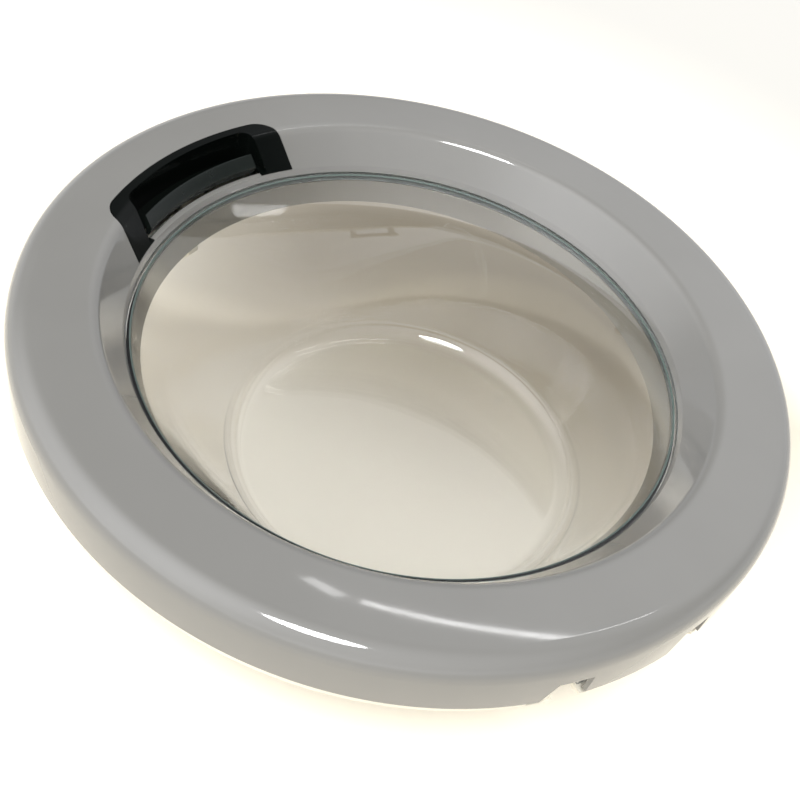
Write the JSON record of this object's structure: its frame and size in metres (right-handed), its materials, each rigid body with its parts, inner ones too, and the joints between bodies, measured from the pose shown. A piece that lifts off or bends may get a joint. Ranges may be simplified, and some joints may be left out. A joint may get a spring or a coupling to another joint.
{
  "type": "washing machine door",
  "caption": "Round front-loading washing machine door: moulded rings clamping a clear glass bowl, recessed grip lever with latch hook, and a side hinge.",
  "frame": {"origin": "on the door's axis, in the plane where the closed rear ring meets the cabinet", "axes": "+Z out of the machine's front, +Y up on the hung door, +X to the right, so the hinge is at -X; stored lying front up"},
  "size_m": [0.4692, 0.4692, 0.145],
  "materials": {
    "ring_plastic": "gloss",
    "rear_plastic": "satin",
    "clear_glass": "polished",
    "handle_plastic": "gloss",
    "bearing_plastic": "satin",
    "hinge_paint": "satin",
    "bright_steel": "satin"
  },
  "bodies": {
    "hinge": {"hinge_leaf": "hinge_paint", "upper_bush": "bearing_plastic", "lower_bush": "bearing_plastic"},
    "door": {"front_ring": "ring_plastic", "rear_ring": "rear_plastic", "glass_bowl": "clear_glass", "handle_cup": "handle_plastic", "lever_pin": "bright_steel", "lever_spring": "bright_steel", "hinge_pin": "bright_steel", "hinge_pin_clip": "bright_steel", "hinge_saddle": "bright_steel", "saddle_screws": "bright_steel", "ring_screws": "bright_steel", "cup_screws": "bright_steel"},
    "lever": {"handle_lever": "handle_plastic"},
    "hook": {"latch_hook": "bright_steel"}
  },
  "joints": [
    {"name": "door_swing", "type": "hinge", "parent": "hinge", "child": "door", "pos_m": [-0.219, 0, 0.0155], "axis": [0, -1, 0], "range_deg": [0, 130]},
    {"name": "handle_pull", "type": "hinge", "parent": "door", "child": "lever", "pos_m": [0.17259, 0.07326, 0.0145], "axis": [0.3907, -0.9205, 0], "range_deg": [0, 6.5], "stiffness_Nm_per_rad": 1.2, "springref_deg": -8.59},
    {"name": "hook_release", "type": "hinge", "parent": "door", "child": "hook", "pos_m": [0.17259, 0.07326, 0.0145], "axis": [0.3907, -0.9205, 0], "range_deg": [0, 6.5], "deforming": ["lever_spring"]}
  ],
  "couplings": [
    {"joint": "hook_release", "follows": "handle_pull", "ratio": 1}
  ]
}
